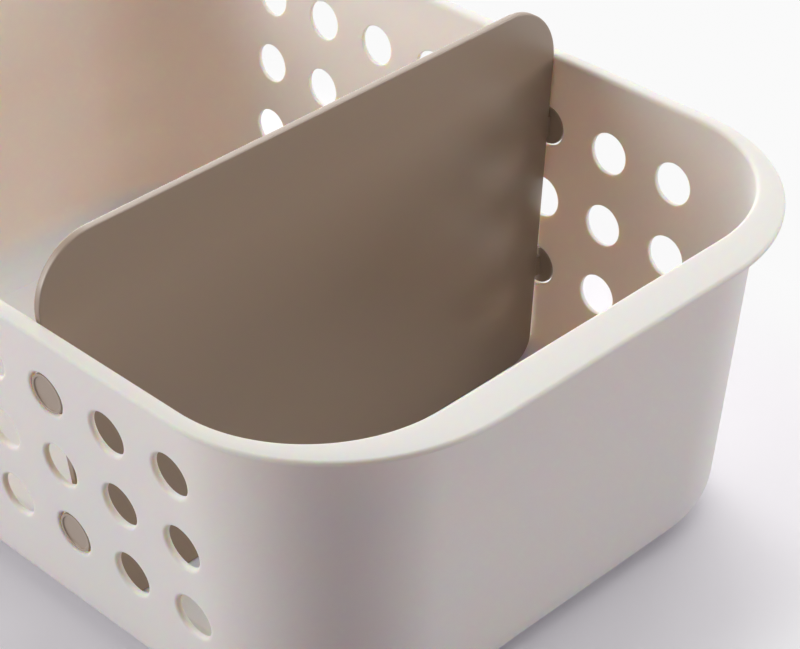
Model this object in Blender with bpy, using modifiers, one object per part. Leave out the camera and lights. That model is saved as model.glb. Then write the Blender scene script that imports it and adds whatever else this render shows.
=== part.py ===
"""Storage basket: a moulded tub with a grid of round holes in its long walls, and a removable
divider whose four cup-shaped studs snap into one column of those holes.

Metres, +Z up. The origin is on the table under the middle of the tub. The tub's length runs along
Y, with the front end at -Y, and its width along X.
"""

import math

import bmesh
import bpy
from mathutils import Matrix, Vector

# Tub, measured inside where a size is of the mouth or the floor
MOUTH_WIDTH = 0.2348
MOUTH_LENGTH = 0.3341
MOUTH_CORNER_RADIUS = 0.0536
FLOOR_CORNER_RADIUS = 0.0483
RIM_HEIGHT = 0.1300
WALL = 0.0023
SIDE_DRAFT_DEGREES = 4.4
END_DRAFT_DEGREES = 4.9
BASE_FILLET = 0.0163

# Lip: narrow along the long walls, wide at the two ends, where the hands grip it
SIDE_LIP = 0.0058
END_LIP = 0.0157
LIP_FALL = 0.0005
LIP_EDGE_RADIUS = 0.0008
MOUTH_EDGE_RADIUS = 0.0010

# Foot: the floor is raised inside a narrow band that stands on the table
FOOT_BAND = 0.0070
FOOT_RISE = 0.0010
FOOT_SLOPE_WIDTH = 0.0018

# Holes in the long walls
HOLE_COLUMNS = 8
HOLE_ROWS = 3
HOLE_PITCH = 0.0300
HOLE_ROW_PITCH = 0.0294
HOLE_DIAMETER = 0.0158
TOP_ROW_DEPTH = 0.0286

# Divider: a flat panel that stands in the third column of holes from the front
DIVIDER_COLUMN = 2
DIVIDER_THICKNESS = 0.0028
DIVIDER_RISE = 0.0240
DIVIDER_TOP_RADIUS = 0.0225
DIVIDER_FOOT_RADIUS = 0.0105
DIVIDER_EDGE_RADIUS = 0.0006
DIVIDER_TOP_GAP = 0.0004
DIVIDER_FOOT_GAP = 0.0026
DIVIDER_FLOOR_GAP = 0.0003

# Snap studs in the top and bottom rows of that column
STUD_ROWS = {"upper": 1, "lower": -1}
STUD_CLEARANCE = 0.0006
STUD_RECESS = 0.0004
STUD_DEPTH = 0.0015
STUD_RIM = 0.0011
STUD_DISH_DEPTH = 0.0008
TONGUE_HEIGHT = 0.0080
TONGUE_GAP = 0.0003

# How finely the curves are cut, and how far a cutter runs past what it cuts
CORNER_SEGMENTS = 10
FILLET_SEGMENTS = 6
MOUTH_EDGE_SEGMENTS = 3
LIP_SEGMENTS = 2
HOLE_SEGMENTS = 24
STUD_SEGMENTS = 24
ARC_SEGMENTS = 8
BEVEL_SEGMENTS = 2
SHARP_ANGLE = math.radians(50)
MERGE_DISTANCE = 0.00001
OVERRUN = 0.0100

# Colour, roughness and metallic value of the two plastics
TUB_PLASTIC = ((0.74, 0.70, 0.66, 1.0), 0.42, 0.0)
DIVIDER_PLASTIC = ((0.43, 0.35, 0.29, 1.0), 0.45, 0.0)

SIDE_DRAFT = math.radians(SIDE_DRAFT_DEGREES)
END_DRAFT = math.radians(END_DRAFT_DEGREES)
FLOOR_TOP = WALL + FOOT_RISE
MIDDLE_ROW_HEIGHT = RIM_HEIGHT - TOP_ROW_DEPTH - (HOLE_ROWS - 1) / 2 * HOLE_ROW_PITCH
DIVIDER_Y = (DIVIDER_COLUMN - (HOLE_COLUMNS - 1) / 2) * HOLE_PITCH


def mouth_half(draft):
    """Half the mouth across the walls that lean by this draft."""
    return (MOUTH_WIDTH if draft == SIDE_DRAFT else MOUTH_LENGTH) / 2


def inner_wall(draft, z):
    """How far a wall's inner face stands from the middle at height z."""
    return mouth_half(draft) - math.tan(draft) * (RIM_HEIGHT - z)


def corner_radius(z):
    """Plan radius of the wall's inner corner, which changes evenly from the floor to the mouth."""
    share = (z - WALL) / (RIM_HEIGHT - WALL)
    return FLOOR_CORNER_RADIUS + share * (MOUTH_CORNER_RADIUS - FLOOR_CORNER_RADIUS)


def rounded_rectangle(half_x, half_y, radius, z):
    """One closed ring of points, counter-clockwise from +X."""
    points = []
    for quarter in range(4):
        middle_x = (half_x - radius) * (1 if quarter in (0, 3) else -1)
        middle_y = (half_y - radius) * (1 if quarter in (0, 1) else -1)
        for step in range(CORNER_SEGMENTS + 1):
            angle = math.pi / 2 * (quarter + step / CORNER_SEGMENTS)
            points.append(Vector((middle_x + radius * math.cos(angle),
                                  middle_y + radius * math.sin(angle), z)))
    return points


def floor_rings():
    """The raised floor and the foot band, seen from inside, from the middle outwards."""
    flat_x = fillet_middle(SIDE_DRAFT)
    flat_y = fillet_middle(END_DRAFT)
    radius = corner_radius(BASE_FILLET) - (BASE_FILLET - WALL)
    rings = []
    for inset, z in ((FOOT_BAND + FOOT_SLOPE_WIDTH, FLOOR_TOP), (FOOT_BAND, WALL)):
        rings.append(rounded_rectangle(flat_x - inset, flat_y - inset, radius - inset, z))
    return rings


def fillet_middle(draft):
    """Where the base fillet's centre stands, so that the fillet is tangent to wall and floor."""
    return inner_wall(draft, BASE_FILLET) - (BASE_FILLET - WALL) / math.cos(draft)


def fillet_rings():
    """The inner side of the base fillet, from the floor up to the wall."""
    radius = BASE_FILLET - WALL
    rings = []
    for step in range(FILLET_SEGMENTS + 1):
        angle = -math.pi / 2 + (math.pi / 2 - SIDE_DRAFT) * step / FILLET_SEGMENTS
        reach = radius * math.cos(angle)
        z = BASE_FILLET + radius * math.sin(angle)
        rings.append(rounded_rectangle(fillet_middle(SIDE_DRAFT) + reach,
                                       fillet_middle(END_DRAFT) + reach,
                                       corner_radius(BASE_FILLET) - radius + reach, z))
    return rings


def mouth_edge_rings():
    """The small round where the wall turns out into the lip."""
    level = RIM_HEIGHT - MOUTH_EDGE_RADIUS
    rings = []
    for step in range(MOUTH_EDGE_SEGMENTS + 1):
        angle = math.pi - SIDE_DRAFT - (math.pi / 2 - SIDE_DRAFT) * step / MOUTH_EDGE_SEGMENTS
        reach = MOUTH_EDGE_RADIUS * (1 / math.cos(SIDE_DRAFT) + math.cos(angle))
        rings.append(rounded_rectangle(inner_wall(SIDE_DRAFT, level) + reach,
                                       inner_wall(END_DRAFT, level) + reach,
                                       corner_radius(level) + reach,
                                       level + MOUTH_EDGE_RADIUS * math.sin(angle)))
    return rings


def lip_rings(inner_ring):
    """The lip's top face, which crowns gently down to its outer edge."""
    outer_ring = rounded_rectangle(MOUTH_WIDTH / 2 + SIDE_LIP, MOUTH_LENGTH / 2 + END_LIP,
                                   MOUTH_CORNER_RADIUS + END_LIP, RIM_HEIGHT)
    rings = []
    for step in range(1, LIP_SEGMENTS + 1):
        share = step / LIP_SEGMENTS
        drop = Vector((0, 0, LIP_FALL * share ** 2))
        rings.append([a.lerp(b, share) - drop for a, b in zip(inner_ring, outer_ring)])
    return rings


def loft(name, rings):
    """A skin through unlike rings, closed by one face inside the first ring."""
    mesh = bmesh.new()
    rows = [[mesh.verts.new(point) for point in ring] for ring in rings]
    mesh.faces.new(rows[0])
    for lower, upper in zip(rows, rows[1:]):
        for index, vertex in enumerate(lower):
            following = (index + 1) % len(lower)
            mesh.faces.new((vertex, lower[following], upper[following], upper[index]))
    data = bpy.data.meshes.new(name)
    bmesh.ops.recalc_face_normals(mesh, faces=mesh.faces)
    if mesh.faces[0].normal.z < 0:
        bmesh.ops.reverse_faces(mesh, faces=mesh.faces)
    mesh.to_mesh(data)
    mesh.free()
    return data


def smooth(data):
    """Smooth shading that keeps real edges."""
    data.shade_smooth()
    data.set_sharp_from_angle(angle=SHARP_ANGLE)


def material(name, look):
    """A Principled material of one plastic."""
    colour, roughness, metallic = look
    made = bpy.data.materials.new(name)
    made.use_nodes = True
    shader = made.node_tree.nodes["Principled BSDF"]
    shader.inputs["Base Color"].default_value = colour
    shader.inputs["Roughness"].default_value = roughness
    shader.inputs["Metallic"].default_value = metallic
    return made


def place(name, data, collection, plastic=None, parent=None):
    """An object of this mesh or curve in its collection, with its material and parent."""
    made = bpy.data.objects.new(name, data)
    collection.objects.link(made)
    if plastic is not None:
        data.materials.clear()
        data.materials.append(plastic)
    made.parent = parent
    return made


def guide(name, data, collection):
    """A cutter, or a shape that another takes in, which isn't part of the object."""
    made = place(name, data, collection)
    made.hide_render = True
    made.display_type = "WIRE"
    return made


def join(piece, other, operation):
    """Cut a piece by another, or unite the two."""
    step = piece.modifiers.new(other.name, "BOOLEAN")
    step.operation = operation
    step.solver = "EXACT"
    step.object = other


def round_edges(piece, width):
    """Round every edge that is sharper than the shading angle."""
    step = piece.modifiers.new("rounded_edges", "BEVEL")
    step.limit_method = "ANGLE"
    step.angle_limit = SHARP_ANGLE
    step.width = width
    step.segments = BEVEL_SEGMENTS


def hole_places():
    """Y and Z of each hole's axis."""
    for column in range(HOLE_COLUMNS):
        for row in range(HOLE_ROWS):
            yield ((column - (HOLE_COLUMNS - 1) / 2) * HOLE_PITCH,
                   MIDDLE_ROW_HEIGHT + (row - (HOLE_ROWS - 1) / 2) * HOLE_ROW_PITCH)


def hole_cutters(collection):
    """One round bar for each hole, long enough to pass through both long walls."""
    mesh = bmesh.new()
    length = MOUTH_WIDTH + 2 * SIDE_LIP + 2 * OVERRUN
    for y, z in hole_places():
        turn = Matrix.Translation((0, y, z)) @ Matrix.Rotation(math.pi / 2, 4, "Y")
        bmesh.ops.create_cone(mesh, cap_ends=True, segments=HOLE_SEGMENTS, matrix=turn,
                              radius1=HOLE_DIAMETER / 2, radius2=HOLE_DIAMETER / 2, depth=length)
    data = bpy.data.meshes.new("hole_cutters")
    mesh.to_mesh(data)
    mesh.free()
    return guide("hole_cutters", data, collection)


def make_tub(parts, cutters, plastic):
    """The tub: one skin from floor to lip, thickened outwards, with its holes cut through."""
    edge = mouth_edge_rings()
    data = loft("basket_tub", floor_rings() + fillet_rings() + edge + lip_rings(edge[-1]))
    smooth(data)
    tub = place("basket_tub", data, parts, plastic)
    shell = tub.modifiers.new("wall", "SOLIDIFY")
    shell.thickness = WALL
    shell.offset = -1
    shell.use_even_offset = True
    shell.use_quality_normals = True
    round_edges(tub, LIP_EDGE_RADIUS)
    join(tub, hole_cutters(cutters), "DIFFERENCE")


def arc(middle_x, middle_z, radius, start, sweep):
    """Points along an arc, both ends included."""
    return [(middle_x + radius * math.cos(start + sweep * step / ARC_SEGMENTS),
             middle_z + radius * math.sin(start + sweep * step / ARC_SEGMENTS))
            for step in range(ARC_SEGMENTS + 1)]


def divider_half(z):
    """Half the panel's width at height z: a straight edge that keeps a small gap to the wall."""
    low = FLOOR_TOP + DIVIDER_FLOOR_GAP
    foot = inner_wall(SIDE_DRAFT, low) - DIVIDER_FOOT_GAP
    top = inner_wall(SIDE_DRAFT, RIM_HEIGHT) - DIVIDER_TOP_GAP
    return foot + (top - foot) * (z - low) / (RIM_HEIGHT - low)


def divider_lean():
    """The angle by which the panel's side edges lean out."""
    low = FLOOR_TOP + DIVIDER_FLOOR_GAP
    return math.atan2(divider_half(RIM_HEIGHT) - divider_half(low), RIM_HEIGHT - low)


def divider_outline():
    """Half outline of the panel from its foot to its top, with an arc at each corner."""
    low = FLOOR_TOP + DIVIDER_FLOOR_GAP
    high = RIM_HEIGHT + DIVIDER_RISE
    lean = divider_lean()
    foot_z = low + DIVIDER_FOOT_RADIUS
    foot_x = divider_half(foot_z) - DIVIDER_FOOT_RADIUS / math.cos(lean)
    top_z = high - DIVIDER_TOP_RADIUS
    top_x = divider_half(top_z) - DIVIDER_TOP_RADIUS / math.cos(lean)
    return (arc(foot_x, foot_z, DIVIDER_FOOT_RADIUS, -math.pi / 2, math.pi / 2 - lean)
            + arc(top_x, top_z, DIVIDER_TOP_RADIUS, -lean, math.pi / 2 + lean))


def make_panel(parts, plastic, lift):
    """The divider's panel: a flat outline of even thickness with eased edges."""
    half = divider_outline()
    points = half + [(-x, z) for x, z in reversed(half)]
    data = bpy.data.curves.new("divider_panel", "CURVE")
    data.dimensions = "2D"
    data.fill_mode = "BOTH"
    data.extrude = DIVIDER_THICKNESS / 2
    outline = data.splines.new("POLY")
    outline.points.add(len(points) - 1)
    for point, (x, z) in zip(outline.points, points):
        point.co = (x, z - FLOOR_TOP, 0, 1)
    outline.use_cyclic_u = True
    panel = place("divider_panel", data, parts, plastic, lift)
    panel.rotation_euler = (math.pi / 2, 0, 0)
    weld = panel.modifiers.new("joined_faces", "WELD")
    weld.merge_threshold = MERGE_DISTANCE
    round_edges(panel, DIVIDER_EDGE_RADIUS)


def stud_profile():
    """Half section of a stud: its cup faces +Z and its rim stands at zero height."""
    outer = HOLE_DIAMETER / 2 - STUD_CLEARANCE
    dish = outer - STUD_RIM
    corners = ((0, -STUD_DISH_DEPTH), (dish, -STUD_DISH_DEPTH), (dish, 0), (outer, 0),
               (outer, -STUD_DEPTH), (0, -STUD_DEPTH))
    data = bpy.data.meshes.new("stud_profile")
    data.from_pydata([(x, 0, z) for x, z in corners],
                     [(index, index + 1) for index in range(len(corners) - 1)], [])
    return data


def tongue(name, stud, z, cutters):
    """The short tongue that carries a stud from the panel's edge."""
    reach = (inner_wall(SIDE_DRAFT, z) - divider_half(z)) * math.cos(SIDE_DRAFT)
    start = -(WALL - STUD_RECESS + reach - TONGUE_GAP)
    end = -(STUD_DEPTH + STUD_DISH_DEPTH) / 2
    mesh = bmesh.new()
    bmesh.ops.create_cube(mesh, size=1, matrix=Matrix.Translation((0, 0, (start + end) / 2))
                          @ Matrix.Diagonal((TONGUE_HEIGHT, DIVIDER_THICKNESS, end - start, 1)))
    data = bpy.data.meshes.new(name)
    mesh.to_mesh(data)
    mesh.free()
    made = guide(name, data, cutters)
    made.parent = stud
    return made


def make_stud(side, row, parts, cutters, plastic, lift):
    """A snap stud, set square to the leaning wall and just short of its outer face."""
    name = "stud_" + ("right_" if side > 0 else "left_") + row
    z = MIDDLE_ROW_HEIGHT + STUD_ROWS[row] * HOLE_ROW_PITCH
    stud = place(name, stud_profile(), parts, plastic, lift)
    reach = inner_wall(SIDE_DRAFT, z) + (WALL - STUD_RECESS) / math.cos(SIDE_DRAFT)
    stud.location = (side * reach, 0, z - FLOOR_TOP)
    stud.rotation_euler = (0, side * (math.pi / 2 + SIDE_DRAFT), 0)
    turn = stud.modifiers.new("turned", "SCREW")
    turn.steps = STUD_SEGMENTS
    turn.render_steps = STUD_SEGMENTS
    turn.use_merge_vertices = True
    turn.merge_threshold = MERGE_DISTANCE
    join(stud, tongue(name + "_tongue", stud, z, cutters), "UNION")


def main():
    """Build the basket."""
    for old in list(bpy.data.objects):
        bpy.data.objects.remove(old)
    parts = bpy.data.collections.new("storage_basket")
    cutters = bpy.data.collections.new("cutters")
    for collection in (parts, cutters):
        bpy.context.scene.collection.children.link(collection)
    tub_plastic = material("tub_plastic", TUB_PLASTIC)
    divider_plastic = material("divider_plastic", DIVIDER_PLASTIC)

    make_tub(parts, cutters, tub_plastic)

    lift = place("divider_lift", None, parts)
    lift.location = (0, DIVIDER_Y, FLOOR_TOP)
    make_panel(parts, divider_plastic, lift)
    for side in (-1, 1):
        for row in STUD_ROWS:
            make_stud(side, row, parts, cutters, divider_plastic, lift)


main()
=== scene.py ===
"""Looks of a storage basket with a clip-in divider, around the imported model.

Metres, +Z up, in the model's own frame: the tub's length runs along Y, with the front end at -Y,
and its width along X.
"""
import math

import bmesh
import bpy
from mathutils import Matrix, Vector


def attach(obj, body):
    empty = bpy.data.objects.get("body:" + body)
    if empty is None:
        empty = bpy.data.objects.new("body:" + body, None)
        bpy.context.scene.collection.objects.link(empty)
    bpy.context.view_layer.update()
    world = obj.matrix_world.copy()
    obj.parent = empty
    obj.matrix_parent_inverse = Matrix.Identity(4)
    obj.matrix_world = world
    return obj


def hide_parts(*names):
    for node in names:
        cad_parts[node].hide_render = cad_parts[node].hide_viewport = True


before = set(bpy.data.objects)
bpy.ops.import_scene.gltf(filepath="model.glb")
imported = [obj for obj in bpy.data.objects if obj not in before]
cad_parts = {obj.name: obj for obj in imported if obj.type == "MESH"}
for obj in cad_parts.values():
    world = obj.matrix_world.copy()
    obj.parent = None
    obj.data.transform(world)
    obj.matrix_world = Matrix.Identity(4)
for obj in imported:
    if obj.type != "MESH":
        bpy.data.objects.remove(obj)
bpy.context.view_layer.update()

# Camera, as fitted to the photograph's 800 x 649 frame
FRAME_WIDTH_PIXELS = 800
FOCAL_PIXELS = 2542.2
SENSOR_WIDTH = 36.0
CAMERA_PLACE = (-0.4856, -0.5910, 0.5709)
CAMERA_YAW = math.radians(43.80)
CAMERA_PITCH = math.radians(34.495)
CAMERA_ROLL = math.radians(-1.38)

# Tub, the same sizes as the solid that it stands for, with its edges rounded more finely
MOUTH_WIDTH = 0.2348
MOUTH_LENGTH = 0.3341
MOUTH_CORNER_RADIUS = 0.0536
FLOOR_CORNER_RADIUS = 0.0483
RIM_HEIGHT = 0.1300
WALL = 0.0023
SIDE_DRAFT = math.radians(4.4)
END_DRAFT = math.radians(4.9)
BASE_FILLET = 0.0163
SIDE_LIP = 0.0058
END_LIP = 0.0157
LIP_FALL = 0.0005
LIP_TOP_ROUND = 0.0010
LIP_UNDER_ROUND = 0.0006
MOUTH_ROUND = 0.0017
UNDER_LIP_FILLET = 0.0009

# Foot: a band round the underside, inside which the floor steps up by the rise. The step's section,
# from the raised middle outwards, says how far inside the band it lies and at what share of the rise.
FOOT_BAND = 0.0070
FOOT_RISE = 0.0010
FOOT_INSETS = (0.0060, 0.0025, 0.0018, 0.0012, 0.0006, 0.0, -0.0008, -0.0040)
FOOT_RISE_SHARES = (1, 1, 0.98, 0.78, 0.28, 0.03, 0, 0)

# Holes
COLUMNS = 8
ROWS = 3
PITCH = 0.0300
ROW_PITCH = 0.0294
HOLE_RADIUS = 0.0079
TOP_ROW_DEPTH = 0.0286
OUTER_EDGE_ROUND = 0.0012
INNER_EDGE_ROUND = 0.0004
HALF_PANEL = COLUMNS * PITCH / 2
MIDDLE_ROW = RIM_HEIGHT - TOP_ROW_DEPTH - (ROWS - 1) / 2 * ROW_PITCH
PANEL_LOW = MIDDLE_ROW - ROWS * ROW_PITCH / 2
PANEL_HIGH = MIDDLE_ROW + ROWS * ROW_PITCH / 2

# Divider, in a column of holes that is counted from 0 at the front end
DIVIDER_COLUMN = 2
DIVIDER_THICKNESS = 0.0028
DIVIDER_RISE = 0.0240
DIVIDER_FLOOR_GAP = 0.0003
DIVIDER_TOP_RADIUS = 0.0225
DIVIDER_FOOT_RADIUS = 0.0105
DIVIDER_TOP_GAP = 0.0004
DIVIDER_FOOT_GAP = 0.0026
DIVIDER_EDGE_ROUND = 0.0005
DIVIDER_Y = (DIVIDER_COLUMN - (COLUMNS - 1) / 2) * PITCH
DIVIDER_TOP = RIM_HEIGHT + DIVIDER_RISE
DIVIDER_FOOT = WALL + FOOT_RISE + DIVIDER_FLOOR_GAP

# Studs, and the tongues that carry them
STUD_CLEARANCE = 0.0006
STUD_RADIUS = HOLE_RADIUS - STUD_CLEARANCE
STUD_RECESS = 0.0004
STUD_DEPTH = 0.0016
STUD_RIM = 0.0011
STUD_DISH = 0.0005
STUD_ROUND = 0.0003
TONGUE_HEIGHT = 0.0080
TONGUE_TRIM = 0.0004
TONGUE_OVERLAP = 0.0015

# How finely the curves are cut, in steps
CELL_STEPS = 12
CORNER_STEPS = 28
END_STEPS = 20
INNER_FILLET_STEPS = 12
OUTER_FILLET_STEPS = 14
MOUTH_STEPS = 6
LIP_TOP_STEPS = 6
LIP_UNDER_STEPS = 4
UNDER_LIP_STEPS = 5
OUTER_EDGE_STEPS = 5
INNER_EDGE_STEPS = 4
DIVIDER_LINE_STEPS = 12
DIVIDER_FOOT_STEPS = 16
DIVIDER_TOP_STEPS = 28
DIVIDER_EDGE_STEPS = 6
STUD_STEPS = 72
STUD_ROUND_STEPS = 4

# Loops that keep flat stretches flat beside a rounded edge: how far they lie from it
OUTER_HOLE_LOOPS = (0.0022, 0.0006)
INNER_HOLE_LOOPS = (0.0006, 0.0025)
DIVIDER_LOOP = 0.0010
STUD_LOOP = 0.0012

# Where the other rings lie, as shares of the stretch that they divide
INNER_LOW_SHARES = (0.3, 0.65)
INNER_HIGH_SHARES = (0.3, 0.65, 0.9)
LIP_TOP_SHARES = (0.12, 0.3, 0.5, 0.7, 0.88, 1.0)
LIP_UNDER_SHARES = (0.8, 0.5, 0.2, 0.0)
OUTER_HIGH_SHARES = (0.15, 0.6)
OUTER_LOW_SHARES = (0.35, 0.7)

# A corner that a union leaves stays sharp where it turns by more than this
SHARP_ANGLE = math.radians(40)

# Points in half a ring, which is a long side, an end and the corners beside it, and in a whole one
HALF_RING = COLUMNS * CELL_STEPS + 1 + 2 * (CORNER_STEPS - 1) + END_STEPS + 1
RING_SIZE = 2 * HALF_RING

# The two plastics: colour, roughness and level of the reflection at the surface
ECRU = (0.82, 0.798, 0.772)
ECRU_ROUGHNESS = 0.66
ECRU_SHINE = 0.30
TAUPE = (0.330, 0.235, 0.168)
TAUPE_ROUGHNESS = 0.38
TAUPE_SHINE = 1.0
PLASTIC_IOR = 1.49

# Mottling and moulded grain of both plastics
MOTTLE_SCALE = 14.0
MOTTLE_DETAIL = 3.0
MOTTLE_SPREAD = 0.015
GRAIN_SCALE = 2600.0
GRAIN_DETAIL = 2.0
GRAIN_ROUGHNESS = 0.03
GRAIN_BUMP = 0.08
GRAIN_DEPTH = 0.00005

# How deep light goes into the tub: each colour's share of the depth, the depths in the walls and in
# the floor, and the heights between which the one goes over into the other
GLOW_COLOUR_SHARES = (1.0, 0.52, 0.15)
WALL_GLOW_DEPTH = 0.0038
FLOOR_GLOW_DEPTH = 0.0003
GLOW_HEIGHTS = (0.0034, 0.010)

# The table: its colour as it bounces light, its colour and added light as the camera sees it, the
# backdrop's level, and how far from the tub's foot the one fades into the other
TABLE_HALF = 4
TABLE_DROP = 0.0002
FLOOR_BOUNCE = (0.43, 0.42, 0.50)
FLOOR_SEEN = (0.98, 0.96, 0.98)
FLOOR_LIFT = (0.006, 0.0, 0.008)
BACKGROUND = 0.955
SHADOW_REACH = (0.05, 0.13)

# Soft boxes: compass bearing from +Y, elevation, width, height and level, and the world's level.
# A lamp of level 1 alone would light a surface that faces it to its own colour.
LAMP_DISTANCE = 3.2
LAMP_AIM = 0.06
WORLD_LIGHT = 0.01
SOFT_BOXES = (
    ("back_right", 20, 12, 1.1, 1.0, 0.42),
    ("back_right_far", 40, 12, 1.1, 1.0, 0.15),
    ("front_right", 120, 12, 1.1, 1.0, 0.06),
    ("front_right_far", 140, 12, 1.1, 1.0, 0.25),
    ("left_front", 280, 12, 1.1, 1.0, 0.05),
    ("left", 300, 12, 1.1, 1.0, 0.36),
    ("back_right_middle", 40, 35, 1.4, 1.37, 0.07),
    ("front_right_middle", 130, 35, 1.4, 1.37, 0.095),
    ("left_back_middle", 310, 35, 1.4, 1.37, 0.26),
    ("right_high", 60, 60, 1.7, 1.6, 0.23),
    ("front_right_high", 120, 60, 1.7, 1.6, 0.22),
    ("top", 0, 89.9, 2.0, 2.0, 0.14),
)


def between(start, end, share):
    """The number that lies some share of the way from one to another."""
    return start + (end - start) * share


def side_face(z):
    """X of the inner face of the long walls at height z."""
    return MOUTH_WIDTH / 2 - math.tan(SIDE_DRAFT) * (RIM_HEIGHT - z)


def end_face(z):
    """Y of the inner face of the end walls at height z."""
    return MOUTH_LENGTH / 2 - math.tan(END_DRAFT) * (RIM_HEIGHT - z)


def corner_radius(z):
    """Plan radius of the inner corner at height z."""
    share = (z - WALL) / (RIM_HEIGHT - WALL)
    return between(FLOOR_CORNER_RADIUS, MOUTH_CORNER_RADIUS, share)


def wall_ring(z, out=0.0):
    """Half width, half length, corner radius and height of a wall ring moved out by some way."""
    return (side_face(z) + out / math.cos(SIDE_DRAFT), end_face(z) + out / math.cos(END_DRAFT),
            corner_radius(z) + out, z)


def side_x(half_x, half_y, radius, y):
    """X of a ring's long side at y, also where that already bends into the corner."""
    past = abs(y) - (half_y - radius)
    if past <= 0:
        return half_x
    return half_x - radius + math.sqrt(radius * radius - past * past)


def ring_points(half_x, half_y, radius, z):
    """Points of one ring: the long sides at fixed steps of Y, then the corners, then the ends."""
    steps = COLUMNS * CELL_STEPS
    quarter = []
    start = math.asin((HALF_PANEL - (half_y - radius)) / radius)
    for step in range(1, CORNER_STEPS):
        angle = between(start, math.pi / 2, step / CORNER_STEPS)
        quarter.append((half_x - radius + radius * math.cos(angle),
                        half_y - radius + radius * math.sin(angle)))
    end = [((half_x - radius) * (1 - 2 * step / END_STEPS), half_y) for step in range(END_STEPS + 1)]
    side = []
    for step in range(steps + 1):
        y = HALF_PANEL * (2 * step / steps - 1)
        side.append((side_x(half_x, half_y, radius, y), y))
    half = side + quarter + end + [(-x, y) for x, y in reversed(quarter)]
    return [Vector((x, y, z)) for x, y in half + [(-x, -y) for x, y in half]]


def moved_ring(ring, out, z):
    """Points of a ring's outline, moved out by some way, at height z."""
    return ring_points(ring[0] + out, ring[1] + out, ring[2] + out, z)


def blend_rings(inner, outer, share, drop):
    """A ring part of the way from one ring to another, lowered by some way."""
    return [near.lerp(far, share) - Vector((0, 0, drop)) for near, far in zip(inner, outer)]


def fillet_middles():
    """The ring on which the base fillet's centre runs."""
    reach = BASE_FILLET - WALL
    return (side_face(BASE_FILLET) - reach / math.cos(SIDE_DRAFT),
            end_face(BASE_FILLET) - reach / math.cos(END_DRAFT), corner_radius(BASE_FILLET) - reach)


def foot_rings(level):
    """Rings across the foot's step, from the middle outwards, with the band at some level."""
    rings = []
    for inset, share in zip(FOOT_INSETS, FOOT_RISE_SHARES):
        rings.append(moved_ring(fillet_middles(), -FOOT_BAND - inset, level + share * FOOT_RISE))
    return rings


def fillet_rings(reach, steps):
    """Rings over a skin's base fillet of some radius, from the floor up to the wall."""
    rings = []
    for step in range(steps + 1):
        angle = between(-math.pi / 2, -SIDE_DRAFT, step / steps)
        rings.append(moved_ring(fillet_middles(), reach * math.cos(angle),
                                BASE_FILLET + reach * math.sin(angle)))
    return rings


def inside_rings():
    """Rings of the tub's inner skin below the holes, from the raised floor outwards and up."""
    reach = BASE_FILLET - WALL
    rings = foot_rings(WALL) + fillet_rings(reach, INNER_FILLET_STEPS)
    low = BASE_FILLET - reach * math.sin(SIDE_DRAFT)
    for share in INNER_LOW_SHARES:
        rings.append(ring_points(*wall_ring(between(low, PANEL_LOW, share))))
    return rings


def mouth_rings():
    """Rings of the inner skin above the holes, up and over the mouth's rounded edge."""
    level = RIM_HEIGHT - MOUTH_ROUND
    rings = []
    for share in INNER_HIGH_SHARES:
        rings.append(ring_points(*wall_ring(between(PANEL_HIGH, level, share))))
    for step in range(MOUTH_STEPS + 1):
        angle = between(math.pi - SIDE_DRAFT, math.pi / 2, step / MOUTH_STEPS)
        out = MOUTH_ROUND * (1 / math.cos(SIDE_DRAFT) + math.cos(angle))
        rings.append(moved_ring(wall_ring(level), out, level + MOUTH_ROUND * math.sin(angle)))
    return rings


def lip_rings(mouth):
    """Rings over the lip, from the mouth's edge outwards, round its edge and back to the wall."""
    edge = (MOUTH_WIDTH / 2 + SIDE_LIP, MOUTH_LENGTH / 2 + END_LIP, MOUTH_CORNER_RADIUS + END_LIP)
    outer = moved_ring(edge, -LIP_TOP_ROUND, RIM_HEIGHT)
    rings = []
    for share in LIP_TOP_SHARES:
        rings.append(blend_rings(mouth, outer, share, LIP_FALL * share ** 2))
    high = RIM_HEIGHT - LIP_FALL - LIP_TOP_ROUND
    for step in range(1, LIP_TOP_STEPS + 1):
        angle = math.pi / 2 * (1 - step / LIP_TOP_STEPS)
        rings.append(moved_ring(edge, -LIP_TOP_ROUND * (1 - math.cos(angle)),
                                high + LIP_TOP_ROUND * math.sin(angle)))
    low = RIM_HEIGHT - LIP_FALL - WALL
    for step in range(LIP_UNDER_STEPS + 1):
        angle = -math.pi / 2 * step / LIP_UNDER_STEPS
        rings.append(moved_ring(edge, -LIP_UNDER_ROUND * (1 - math.cos(angle)),
                                low + LIP_UNDER_ROUND * (1 + math.sin(angle))))
    under_edge = moved_ring(edge, -LIP_UNDER_ROUND, RIM_HEIGHT - WALL)
    root = ring_points(*wall_ring(RIM_HEIGHT - WALL, WALL + UNDER_LIP_FILLET))
    for share in LIP_UNDER_SHARES:
        rings.append(blend_rings(root, under_edge, share, LIP_FALL * share ** 2))
    return rings


def under_lip_rings():
    """Rings of the outer skin above the holes, from the lip's root down."""
    root_level = RIM_HEIGHT - WALL
    rings = []
    for step in range(1, UNDER_LIP_STEPS + 1):
        angle = math.pi / 2 * (1 - step / UNDER_LIP_STEPS)
        z = root_level - UNDER_LIP_FILLET * (1 - math.sin(angle))
        rings.append(ring_points(*wall_ring(z, WALL + UNDER_LIP_FILLET * (1 - math.cos(angle)))))
    for share in OUTER_HIGH_SHARES:
        z = between(root_level - UNDER_LIP_FILLET, PANEL_HIGH, share)
        rings.append(ring_points(*wall_ring(z, WALL)))
    return rings


def rim_rings():
    """Rings from above the holes inside, over the lip, to above the holes outside."""
    mouth = mouth_rings()
    return mouth + lip_rings(mouth[-1]) + under_lip_rings()


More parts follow.
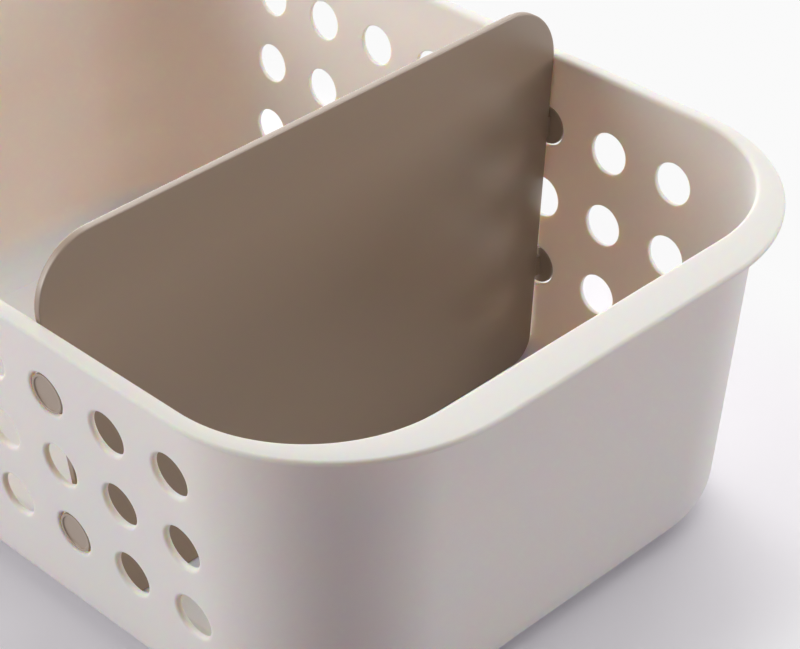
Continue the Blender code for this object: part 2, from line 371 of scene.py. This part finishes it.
def outside_rings():
    """Rings of the outer skin below the holes, down and round to the underside's middle."""
    low = BASE_FILLET - BASE_FILLET * math.sin(SIDE_DRAFT)
    rings = []
    for share in OUTER_LOW_SHARES:
        rings.append(ring_points(*wall_ring(between(PANEL_LOW, low, share), WALL)))
    rings += reversed(fillet_rings(BASE_FILLET, OUTER_FILLET_STEPS))
    rings += reversed(foot_rings(0.0))
    return rings


def cell_border(column, row):
    """The border of a hole's cell as pairs of step and level, from its middle right round."""
    half = CELL_STEPS // 2
    loop = [(CELL_STEPS, level) for level in range(half, CELL_STEPS)]
    loop += [(step, CELL_STEPS) for step in range(CELL_STEPS, 0, -1)]
    loop += [(0, level) for level in range(CELL_STEPS, 0, -1)]
    loop += [(step, 0) for step in range(CELL_STEPS)]
    loop += [(CELL_STEPS, level) for level in range(half)]
    return [(column * CELL_STEPS + step, row * CELL_STEPS + level) for step, level in loop]


def hole_loops():
    """Radius, skin and depth from that skin of each loop between the outer and inner cell."""
    loops = [(HOLE_RADIUS + OUTER_EDGE_ROUND + away, WALL, 0.0) for away in OUTER_HOLE_LOOPS]
    for step in range(OUTER_EDGE_STEPS + 1):
        angle = math.pi / 2 * step / OUTER_EDGE_STEPS
        loops.append((HOLE_RADIUS + OUTER_EDGE_ROUND * (1 - math.sin(angle)), WALL,
                      OUTER_EDGE_ROUND * (1 - math.cos(angle))))
    for step in range(INNER_EDGE_STEPS + 1):
        angle = math.pi / 2 * (1 - step / INNER_EDGE_STEPS)
        loops.append((HOLE_RADIUS + INNER_EDGE_ROUND * (1 - math.sin(angle)), 0.0,
                      -INNER_EDGE_ROUND * (1 - math.cos(angle))))
    loops += [(HOLE_RADIUS + INNER_EDGE_ROUND + away, 0.0, 0.0) for away in INNER_HOLE_LOOPS]
    return loops


def cut_hole(mesh, side, middle_y, middle_z, outer, inner):
    """Fill one cell of both skins with quads around a hole with rounded edges."""
    rows = []
    for radius, skin, depth in hole_loops():
        made = []
        for step in range(len(outer)):
            angle = 2 * math.pi * step / len(outer)
            y = middle_y + radius * math.cos(angle)
            z = middle_z + radius * math.sin(angle)
            x = side_x(*wall_ring(z, skin)[:3], y) - depth
            made.append(Vector((side * x, y, z)))
        rows.append((made, skin))
    for border, row, place in ((outer, rows[0], 0), (inner, rows[-1], len(rows) + 1)):
        middle = []
        for corner, near in zip(border, row[0]):
            y = (corner.co.y + near.y) / 2
            z = (corner.co.z + near.z) / 2
            middle.append(Vector((side * side_x(*wall_ring(z, row[1])[:3], y), y, z)))
        rows.insert(place, (middle, row[1]))
    previous = outer
    for points, skin in rows:
        following = [mesh.verts.new(point) for point in points]
        stitch(mesh, previous, following)
        previous = following
    stitch(mesh, previous, inner)


def stitch(mesh, lower, upper):
    """Quads between two closed rows of as many corners."""
    for index in range(len(lower)):
        after = (index + 1) % len(lower)
        mesh.faces.new((lower[index], lower[after], upper[after], upper[index]))


def stitched_rows(mesh, rings):
    """New corners at the points of these rings, with quads from each ring to the next."""
    rows = [[mesh.verts.new(point) for point in ring] for ring in rings]
    for lower, upper in zip(rows, rows[1:]):
        stitch(mesh, lower, upper)
    return rows


def wall_band(mesh, below, above, skin):
    """One skin at the holes' height, its cells still open. Returns its corners by index and level."""
    levels = ROWS * CELL_STEPS
    steps = COLUMNS * CELL_STEPS
    grid = {}
    for level in range(levels + 1):
        points = ring_points(*wall_ring(between(PANEL_LOW, PANEL_HIGH, level / levels), skin))
        for index, point in enumerate(points):
            inside = index % HALF_RING
            on_border = inside % CELL_STEPS == 0 or level % CELL_STEPS == 0
            if inside > steps or on_border:
                grid[index, level] = mesh.verts.new(point)
    for level in range(levels):
        for index in range(RING_SIZE):
            if index % HALF_RING < steps:
                continue
            after = (index + 1) % RING_SIZE
            mesh.faces.new((grid[index, level], grid[after, level], grid[after, level + 1],
                            grid[index, level + 1]))
    stitch(mesh, below, [grid[index, 0] for index in range(RING_SIZE)])
    stitch(mesh, [grid[index, levels] for index in range(RING_SIZE)], above)
    return grid


def closed(mesh, first, last):
    """Close the mesh with a face at its first and its last row, and turn its faces outwards."""
    mesh.faces.new(first)
    mesh.faces.new(last)
    bmesh.ops.recalc_face_normals(mesh, faces=mesh.faces)


def finished(name, mesh):
    """An object of this mesh, smooth all over."""
    data = bpy.data.meshes.new(name)
    mesh.to_mesh(data)
    mesh.free()
    data.shade_smooth()
    made = bpy.data.objects.new(name, data)
    bpy.context.scene.collection.objects.link(made)
    return made


def make_tub():
    """The tub in one skin: floor, walls with rounded holes, lip and underside."""
    mesh = bmesh.new()
    inside = stitched_rows(mesh, inside_rings())
    rim = stitched_rows(mesh, rim_rings())
    outside = stitched_rows(mesh, outside_rings())
    inner = wall_band(mesh, inside[-1], rim[0], 0.0)
    outer = wall_band(mesh, outside[0], rim[-1], WALL)
    for column in range(COLUMNS):
        for row in range(ROWS):
            border = cell_border(column, row)
            y = (column - (COLUMNS - 1) / 2) * PITCH
            z = MIDDLE_ROW + (row - (ROWS - 1) / 2) * ROW_PITCH
            mirrored = [(HALF_RING + COLUMNS * CELL_STEPS - step, level) for step, level in border]
            for side, pairs in ((1, border), (-1, mirrored)):
                cut_hole(mesh, side, y, z, [outer[pair] for pair in pairs],
                         [inner[pair] for pair in pairs])
    closed(mesh, inside[0], outside[-1])
    return finished("tub_shell", mesh)


def divider_half(z):
    """Half the divider's width at height z."""
    foot = side_face(DIVIDER_FOOT) - DIVIDER_FOOT_GAP
    top = side_face(RIM_HEIGHT) - DIVIDER_TOP_GAP
    return foot + (top - foot) * (z - DIVIDER_FOOT) / (RIM_HEIGHT - DIVIDER_FOOT)


def corner_arc(x, z, radius, start, end, steps):
    """Points and outward directions along a corner of the divider."""
    arc = []
    for step in range(steps + 1):
        angle = between(start, end, step / steps)
        arc.append((x + radius * math.cos(angle), z + radius * math.sin(angle), angle))
    return arc


def divider_outline():
    """Points and outward directions round the divider, anticlockwise from its foot."""
    lean = math.atan2(divider_half(RIM_HEIGHT) - divider_half(DIVIDER_FOOT),
                      RIM_HEIGHT - DIVIDER_FOOT)
    foot_z = DIVIDER_FOOT + DIVIDER_FOOT_RADIUS
    foot_x = divider_half(foot_z) - DIVIDER_FOOT_RADIUS / math.cos(lean)
    top_z = DIVIDER_TOP - DIVIDER_TOP_RADIUS
    top_x = divider_half(top_z) - DIVIDER_TOP_RADIUS / math.cos(lean)
    inner_steps = range(1, DIVIDER_LINE_STEPS)
    foot = [(foot_x * step / DIVIDER_LINE_STEPS, DIVIDER_FOOT, -math.pi / 2) for step in inner_steps]
    foot += corner_arc(foot_x, foot_z, DIVIDER_FOOT_RADIUS, -math.pi / 2, -lean, DIVIDER_FOOT_STEPS)
    top = corner_arc(top_x, top_z, DIVIDER_TOP_RADIUS, -lean, math.pi / 2, DIVIDER_TOP_STEPS)
    top += [(top_x * step / DIVIDER_LINE_STEPS, DIVIDER_TOP, math.pi / 2)
            for step in reversed(inner_steps)]
    low = foot[-1]
    high = top[0]
    side = []
    for step in inner_steps:
        share = step / DIVIDER_LINE_STEPS
        side.append((between(low[0], high[0], share), between(low[1], high[1], share), -lean))
    half = foot + side + top
    mirrored = [(-x, z, math.pi - angle) for x, z, angle in reversed(half)]
    return [(0.0, DIVIDER_FOOT, -math.pi / 2)] + half + [(0.0, DIVIDER_TOP, math.pi / 2)] + mirrored


def make_board():
    """The divider's flat board with rounded edges."""
    outline = divider_outline()
    half = DIVIDER_THICKNESS / 2
    profile = [(DIVIDER_EDGE_ROUND + DIVIDER_LOOP, -half)]
    for step in range(DIVIDER_EDGE_STEPS + 1):
        angle = math.pi / 2 * step / DIVIDER_EDGE_STEPS
        profile.append((DIVIDER_EDGE_ROUND * (1 - math.sin(angle)),
                        -half + DIVIDER_EDGE_ROUND * (1 - math.cos(angle))))
    profile += [(inset, -y) for inset, y in reversed(profile)]
    rings = []
    for inset, y in profile:
        rings.append([(x - inset * math.cos(angle), DIVIDER_Y + y, z - inset * math.sin(angle))
                      for x, z, angle in outline])
    mesh = bmesh.new()
    rows = stitched_rows(mesh, rings)
    closed(mesh, rows[0], rows[-1])
    return finished("divider_board", mesh)


def stud_profile():
    """Radius and height of the stud's section, from its dish over its rim to its back."""
    dish = STUD_RADIUS - STUD_RIM
    points = [(dish - STUD_ROUND - STUD_LOOP, -STUD_DISH)]
    corners = (((dish - STUD_ROUND, -STUD_DISH + STUD_ROUND), -math.pi / 2, 0.0),
               ((dish + STUD_ROUND, -STUD_ROUND), math.pi, math.pi / 2),
               ((STUD_RADIUS - STUD_ROUND, -STUD_ROUND), math.pi / 2, 0.0),
               ((STUD_RADIUS - STUD_ROUND, -STUD_DEPTH + STUD_ROUND), 0.0, -math.pi / 2))
    for (x, z), start, end in corners:
        for step in range(STUD_ROUND_STEPS + 1):
            angle = between(start, end, step / STUD_ROUND_STEPS)
            points.append((x + STUD_ROUND * math.cos(angle), z + STUD_ROUND * math.sin(angle)))
    points.append((STUD_RADIUS - STUD_ROUND - STUD_LOOP, -STUD_DEPTH))
    return points


def stud_place(side, z):
    """Where a stud stands: square to the leaning wall, with its own Z pointing outwards."""
    reach = side_face(z) + (WALL - STUD_RECESS) / math.cos(SIDE_DRAFT)
    return (Matrix.Translation((side * reach, DIVIDER_Y, z))
            @ Matrix.Rotation(side * (math.pi / 2 + SIDE_DRAFT), 4, "Y"))


def make_stud(place):
    """One round stud with a dished outer face."""
    angles = [2 * math.pi * step / STUD_STEPS for step in range(STUD_STEPS)]
    rings = []
    for radius, height in stud_profile():
        rings.append([place @ Vector((radius * math.cos(angle), radius * math.sin(angle), height))
                      for angle in angles])
    mesh = bmesh.new()
    rows = stitched_rows(mesh, rings)
    closed(mesh, rows[0], rows[-1])
    return finished("stud", mesh)


def make_tongue(place, z):
    """A short tongue from inside the board to inside the stud's back."""
    gap = side_face(z) - divider_half(z)
    start = -(WALL - STUD_RECESS + gap) - TONGUE_OVERLAP
    end = -(STUD_DEPTH + STUD_DISH) / 2
    size = Matrix.Diagonal((TONGUE_HEIGHT, DIVIDER_THICKNESS - TONGUE_TRIM, end - start, 1))
    mesh = bmesh.new()
    bmesh.ops.create_cube(mesh, size=1,
                          matrix=place @ Matrix.Translation((0, 0, (start + end) / 2)) @ size)
    return finished("tongue", mesh)


def make_divider():
    """The board with its four studs, joined into one moulding."""
    board = make_board()
    for side in (-1, 1):
        for row in (-1, 1):
            z = MIDDLE_ROW + row * ROW_PITCH
            place = stud_place(side, z)
            unite(board, make_stud(place))
            unite(board, make_tongue(place, z))
    board.data.shade_smooth()
    board.data.set_sharp_from_angle(angle=SHARP_ANGLE)
    return board


def unite(piece, other):
    """Unite the first piece with the other, which goes."""
    step = piece.modifiers.new("union", "BOOLEAN")
    step.operation = "UNION"
    step.solver = "EXACT"
    step.object = other
    shape = bpy.data.meshes.new_from_object(piece.evaluated_get(bpy.context.evaluated_depsgraph_get()))
    piece.modifiers.clear()
    old = piece.data
    piece.data = shape
    bpy.data.meshes.remove(old)
    bpy.data.objects.remove(other)


def plastic(name, colour, roughness, shine):
    """Satin moulded plastic: faint mottling and a very fine moulded grain."""
    made = bpy.data.materials.new(name)
    made.use_nodes = True
    nodes = made.node_tree.nodes
    links = made.node_tree.links
    shader = nodes["Principled BSDF"]
    shader.inputs["IOR"].default_value = PLASTIC_IOR
    shader.inputs["Specular IOR Level"].default_value = shine
    place = nodes.new("ShaderNodeTexCoord")
    mottle = nodes.new("ShaderNodeTexNoise")
    mottle.inputs["Scale"].default_value = MOTTLE_SCALE
    mottle.inputs["Detail"].default_value = MOTTLE_DETAIL
    links.new(place.outputs["Object"], mottle.inputs["Vector"])
    shade = nodes.new("ShaderNodeMixRGB")
    shade.inputs["Color1"].default_value = (*(part * (1 - MOTTLE_SPREAD) for part in colour), 1)
    shade.inputs["Color2"].default_value = (*(part * (1 + MOTTLE_SPREAD) for part in colour), 1)
    links.new(mottle.outputs["Fac"], shade.inputs["Fac"])
    links.new(shade.outputs["Color"], shader.inputs["Base Color"])
    grain = nodes.new("ShaderNodeTexNoise")
    grain.inputs["Scale"].default_value = GRAIN_SCALE
    grain.inputs["Detail"].default_value = GRAIN_DETAIL
    links.new(place.outputs["Object"], grain.inputs["Vector"])
    gloss = nodes.new("ShaderNodeMapRange")
    gloss.inputs["To Min"].default_value = roughness - GRAIN_ROUGHNESS
    gloss.inputs["To Max"].default_value = roughness + GRAIN_ROUGHNESS
    links.new(grain.outputs["Fac"], gloss.inputs["Value"])
    links.new(gloss.outputs["Result"], shader.inputs["Roughness"])
    bump = nodes.new("ShaderNodeBump")
    bump.inputs["Strength"].default_value = GRAIN_BUMP
    bump.inputs["Distance"].default_value = GRAIN_DEPTH
    links.new(grain.outputs["Fac"], bump.inputs["Height"])
    links.new(bump.outputs["Normal"], shader.inputs["Normal"])
    return made


def glow(material):
    """Light enters the tub's plastic and comes out warmer, less deep in the floor than in the walls."""
    nodes = material.node_tree.nodes
    links = material.node_tree.links
    shader = nodes["Principled BSDF"]
    shader.inputs["Subsurface Weight"].default_value = 1.0
    shader.inputs["Subsurface Radius"].default_value = GLOW_COLOUR_SHARES
    place = nodes.new("ShaderNodeTexCoord")
    height = nodes.new("ShaderNodeSeparateXYZ")
    links.new(place.outputs["Object"], height.inputs["Vector"])
    depth = nodes.new("ShaderNodeMapRange")
    depth.inputs["From Min"].default_value = GLOW_HEIGHTS[0]
    depth.inputs["From Max"].default_value = GLOW_HEIGHTS[1]
    depth.inputs["To Min"].default_value = FLOOR_GLOW_DEPTH
    depth.inputs["To Max"].default_value = WALL_GLOW_DEPTH
    links.new(height.outputs["Z"], depth.inputs["Value"])
    links.new(depth.outputs["Result"], shader.inputs["Subsurface Scale"])
    return material


def make_camera():
    """A camera that looks down at the tub's front left corner."""
    forward = Vector((math.sin(CAMERA_YAW) * math.cos(CAMERA_PITCH),
                      math.cos(CAMERA_YAW) * math.cos(CAMERA_PITCH), -math.sin(CAMERA_PITCH)))
    level = Vector((math.cos(CAMERA_YAW), -math.sin(CAMERA_YAW), 0))
    upright = level.cross(forward)
    right = level * math.cos(CAMERA_ROLL) + upright * math.sin(CAMERA_ROLL)
    up = upright * math.cos(CAMERA_ROLL) - level * math.sin(CAMERA_ROLL)
    turn = Matrix((right, up, -forward)).transposed().to_4x4()
    data = bpy.data.cameras.new("camera")
    data.sensor_width = SENSOR_WIDTH
    data.lens = FOCAL_PIXELS / FRAME_WIDTH_PIXELS * SENSOR_WIDTH
    camera = bpy.data.objects.new("camera", data)
    camera.matrix_world = Matrix.Translation(CAMERA_PLACE) @ turn
    bpy.context.scene.collection.objects.link(camera)
    bpy.context.scene.camera = camera


def larger(nodes, links, first, second):
    """The larger of two outputs."""
    made = nodes.new("ShaderNodeMath")
    made.operation = "MAXIMUM"
    links.new(first, made.inputs[0])
    links.new(second, made.inputs[1])
    return made.outputs[0]


def mixed(nodes, links, factor, first, second):
    """The first shader where the factor is 0, and the second where it is 1."""
    made = nodes.new("ShaderNodeMixShader")
    links.new(factor, made.inputs["Fac"])
    links.new(first.outputs[0], made.inputs[1])
    links.new(second.outputs[0], made.inputs[2])
    return made


def away_from_tub(nodes, links):
    """A factor that goes from 0 near the tub's foot to 1 where its shadow has faded."""
    place = nodes.new("ShaderNodeTexCoord")
    foot = Vector((side_face(0) - BASE_FILLET, end_face(0) - BASE_FILLET, 0))
    last = place.outputs["Object"]
    for operation, other in (("ABSOLUTE", None), ("SUBTRACT", foot), ("MAXIMUM", Vector((0, 0, 0))),
                             ("LENGTH", None)):
        step = nodes.new("ShaderNodeVectorMath")
        step.operation = operation
        links.new(last, step.inputs[0])
        if other is not None:
            step.inputs[1].default_value = other
        last = step.outputs["Value" if operation == "LENGTH" else "Vector"]
    fade = nodes.new("ShaderNodeMapRange")
    fade.interpolation_type = "SMOOTHSTEP"
    fade.inputs["From Min"].default_value = SHADOW_REACH[0]
    fade.inputs["From Max"].default_value = SHADOW_REACH[1]
    links.new(last, fade.inputs["Value"])
    return fade.outputs["Result"]


def table_material():
    """A pale table. The camera sees its shadows fade into the backdrop, and gloss sees white."""
    made = bpy.data.materials.new("pale_floor")
    made.use_nodes = True
    nodes = made.node_tree.nodes
    links = made.node_tree.links
    nodes.clear()
    path = nodes.new("ShaderNodeLightPath")
    bounce = nodes.new("ShaderNodeBsdfDiffuse")
    bounce.inputs["Color"].default_value = (*FLOOR_BOUNCE, 1)
    seen = nodes.new("ShaderNodeBsdfDiffuse")
    seen.inputs["Color"].default_value = (*FLOOR_SEEN, 1)
    lift = nodes.new("ShaderNodeEmission")
    lift.inputs["Color"].default_value = (*FLOOR_LIFT, 1)
    shadowed = nodes.new("ShaderNodeAddShader")
    links.new(seen.outputs[0], shadowed.inputs[0])
    links.new(lift.outputs[0], shadowed.inputs[1])
    plain = nodes.new("ShaderNodeEmission")
    plain.inputs["Strength"].default_value = BACKGROUND
    white = nodes.new("ShaderNodeEmission")
    faded = mixed(nodes, links, away_from_tub(nodes, links), shadowed, plain)
    viewed = mixed(nodes, links, path.outputs["Is Camera Ray"], bounce, faded)
    mirrored = larger(nodes, links, path.outputs["Is Glossy Ray"], path.outputs["Is Transmission Ray"])
    surface = mixed(nodes, links, mirrored, viewed, white)
    out = nodes.new("ShaderNodeOutputMaterial")
    links.new(surface.outputs[0], out.inputs["Surface"])
    made.cycles.emission_sampling = "NONE"
    return made


def make_floor():
    """The table that the tub stands on, a hair below its foot."""
    mesh = bpy.data.meshes.new("floor")
    corners = [(x * TABLE_HALF, y * TABLE_HALF, 0) for x, y in ((-1, -1), (1, -1), (1, 1), (-1, 1))]
    mesh.from_pydata(corners, [], [(0, 1, 2, 3)])
    mesh.materials.append(table_material())
    floor = bpy.data.objects.new("floor", mesh)
    floor.location.z = -TABLE_DROP
    bpy.context.scene.collection.objects.link(floor)


def make_world():
    """A surround that is pale to the camera and to gloss, and hardly lights the object."""
    world = bpy.data.worlds.new("surround")
    world.use_nodes = True
    nodes = world.node_tree.nodes
    links = world.node_tree.links
    path = nodes.new("ShaderNodeLightPath")
    direct = larger(nodes, links, path.outputs["Is Camera Ray"], path.outputs["Is Glossy Ray"])
    shown = larger(nodes, links, direct, path.outputs["Is Transmission Ray"])
    level = nodes.new("ShaderNodeMapRange")
    level.inputs["To Min"].default_value = WORLD_LIGHT
    level.inputs["To Max"].default_value = BACKGROUND
    links.new(shown, level.inputs["Value"])
    links.new(level.outputs["Result"], nodes["Background"].inputs["Strength"])
    nodes["Background"].inputs["Color"].default_value = (1, 1, 1, 1)
    bpy.context.scene.world = world


def make_lamps():
    """Soft boxes round the tub, turned to its middle."""
    for name, azimuth, elevation, width, height, level in SOFT_BOXES:
        data = bpy.data.lights.new(name, "AREA")
        data.shape = "RECTANGLE"
        data.size = width
        data.size_y = height
        data.energy = level * (math.pi * LAMP_DISTANCE) ** 2
        lamp = bpy.data.objects.new(name, data)
        turn = math.radians(azimuth)
        rise = math.radians(elevation)
        way = Vector((math.sin(turn) * math.cos(rise), math.cos(turn) * math.cos(rise),
                      math.sin(rise)))
        lamp.location = Vector((0, 0, LAMP_AIM)) + way * LAMP_DISTANCE
        lamp.rotation_euler = way.to_track_quat("Z", "Y").to_euler()
        bpy.context.scene.collection.objects.link(lamp)


tub = make_tub()
tub.data.materials.append(glow(plastic("ecru_plastic", ECRU, ECRU_ROUGHNESS, ECRU_SHINE)))
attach(tub, "tub")
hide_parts("basket_tub")
divider = make_divider()
divider.data.materials.clear()
divider.data.materials.append(plastic("taupe_plastic", TAUPE, TAUPE_ROUGHNESS, TAUPE_SHINE))
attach(divider, "divider")
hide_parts("divider_panel", "stud_left_lower", "stud_left_upper", "stud_right_lower",
            "stud_right_upper")
make_camera()
make_floor()
make_world()
make_lamps()
bpy.context.scene.view_settings.view_transform = "Standard"
